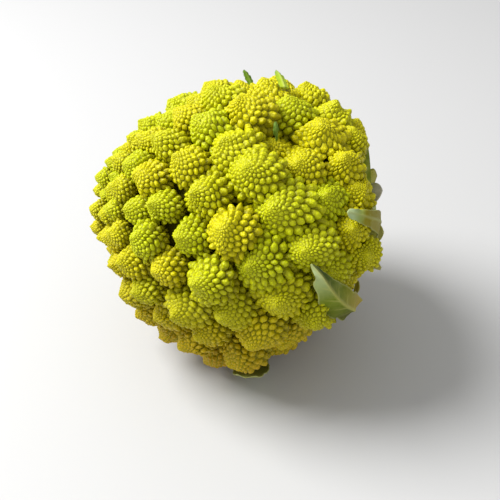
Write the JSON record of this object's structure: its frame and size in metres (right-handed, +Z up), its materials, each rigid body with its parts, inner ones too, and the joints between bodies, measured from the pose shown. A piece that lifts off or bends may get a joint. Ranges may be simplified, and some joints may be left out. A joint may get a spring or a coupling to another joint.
{
  "type": "romanesco head",
  "caption": "Romanesco head lying on its side, a pointed dome of spiralling conical florets with a cut stem, leaf stubs and small leaves.",
  "frame": {"origin": "centre of the underside of the bounding box, on the surface that the head lies on", "axes": "+Z up; the tip of the head points to -X and a little up, and the cut stem to +X; the camera of the picture stands on the -Y side"},
  "size_m": [0.1454, 0.145, 0.1438],
  "materials": {
    "floret": "fine waxy buds, yellow-green",
    "stem": "smooth pale green with a dry cream cut",
    "leaf": "waxy blue-green with pale veins"
  },
  "bodies": {
    "root": {"curd": "floret", "stem": "stem", "leaf_stub_1": "stem", "leaf_stub_2": "stem", "leaf_stub_3": "stem", "leaf_stub_4": "stem", "leaf_stub_5": "stem", "curled_leaf": "leaf", "front_leaf": "leaf", "under_leaf": "leaf", "top_left_leaf": "leaf", "top_right_leaf": "leaf", "middle_leaf": "leaf"}
  },
  "joints": []
}
